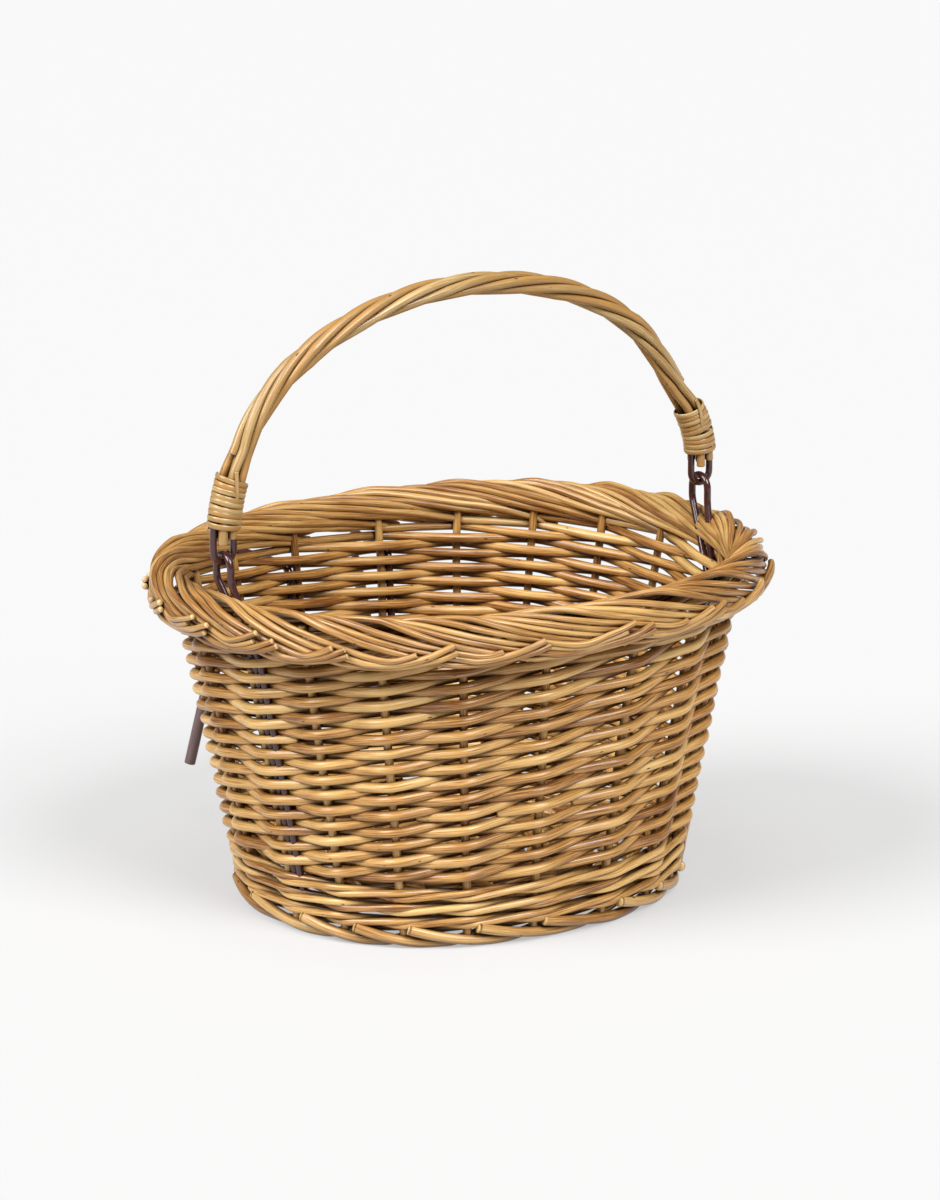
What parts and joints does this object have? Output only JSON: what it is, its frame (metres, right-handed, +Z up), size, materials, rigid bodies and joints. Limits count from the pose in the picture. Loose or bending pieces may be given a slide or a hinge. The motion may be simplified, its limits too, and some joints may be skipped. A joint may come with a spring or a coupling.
{
  "type": "woven willow bicycle basket",
  "caption": "Oval willow basket with a plaited border, a swinging twisted handle hung in steel eyes, and sleeved steel hooks for a handlebar on its back.",
  "frame": {"origin": "middle of the whole object's box, on the surface that the foot stands on", "axes": "+X along the basket's long axis from the left eye to the right eye, -Y towards the front long side, +Y towards the side with the handlebar hooks, +Z up"},
  "size_m": [0.368, 0.3448, 0.3611],
  "materials": {
    "peeled_rod": "peeled and boiled willow rod, satin",
    "siding_willow": "woven peeled willow, satin",
    "border_willow": "plaited peeled willow, satin",
    "handle_willow": "twisted peeled willow, satin",
    "skein_willow": "split willow skein, satin",
    "coated_steel": "dark brown plastic-coated steel rod, glossy",
    "sleeve_plastic": "brown plastic sleeve, matt"
  },
  "bodies": {
    "basket": {"base_long_stick_1": "peeled_rod", "base_long_stick_2": "peeled_rod", "base_long_stick_3": "peeled_rod", "base_short_stick_1": "peeled_rod", "base_short_stick_2": "peeled_rod", "base_short_stick_3": "peeled_rod", "base_short_stick_4": "peeled_rod", "base_short_stick_5": "peeled_rod", "base_weave": "siding_willow", "foot_border": "border_willow", "upsett_waling": "siding_willow", "randing_lower": "siding_willow", "randing_middle": "siding_willow", "randing_upper": "siding_willow", "rim_border": "border_willow", "stake_01": "peeled_rod", "stake_02": "peeled_rod", "stake_03": "peeled_rod", "stake_04": "peeled_rod", "stake_05": "peeled_rod", "stake_06": "peeled_rod", "stake_07": "peeled_rod", "stake_08": "peeled_rod", "stake_09": "peeled_rod", "stake_10": "peeled_rod", "stake_11": "peeled_rod", "stake_12": "peeled_rod", "stake_13": "peeled_rod", "stake_14": "peeled_rod", "stake_15": "peeled_rod", "stake_16": "peeled_rod", "stake_17": "peeled_rod", "stake_18": "peeled_rod", "stake_19": "peeled_rod", "stake_20": "peeled_rod", "eye_left": "coated_steel", "eye_right": "coated_steel", "hook_left": "coated_steel", "hook_right": "coated_steel", "hook_sleeve_left": "sleeve_plastic", "hook_sleeve_right": "sleeve_plastic"},
    "handle": {"handle_core": "handle_willow", "handle_rod_1": "handle_willow", "handle_rod_2": "handle_willow", "handle_rod_3": "handle_willow", "handle_rod_4": "handle_willow", "handle_rod_5": "handle_willow", "whipping_left": "skein_willow", "whipping_right": "skein_willow", "staple_left": "coated_steel", "staple_right": "coated_steel"}
  },
  "joints": [
    {"name": "handle_swing", "type": "hinge", "parent": "basket", "child": "handle", "pos_m": [0, -0.02652, 0.217], "axis": [1, 0, 0], "range_deg": [-96, 93]}
  ]
}
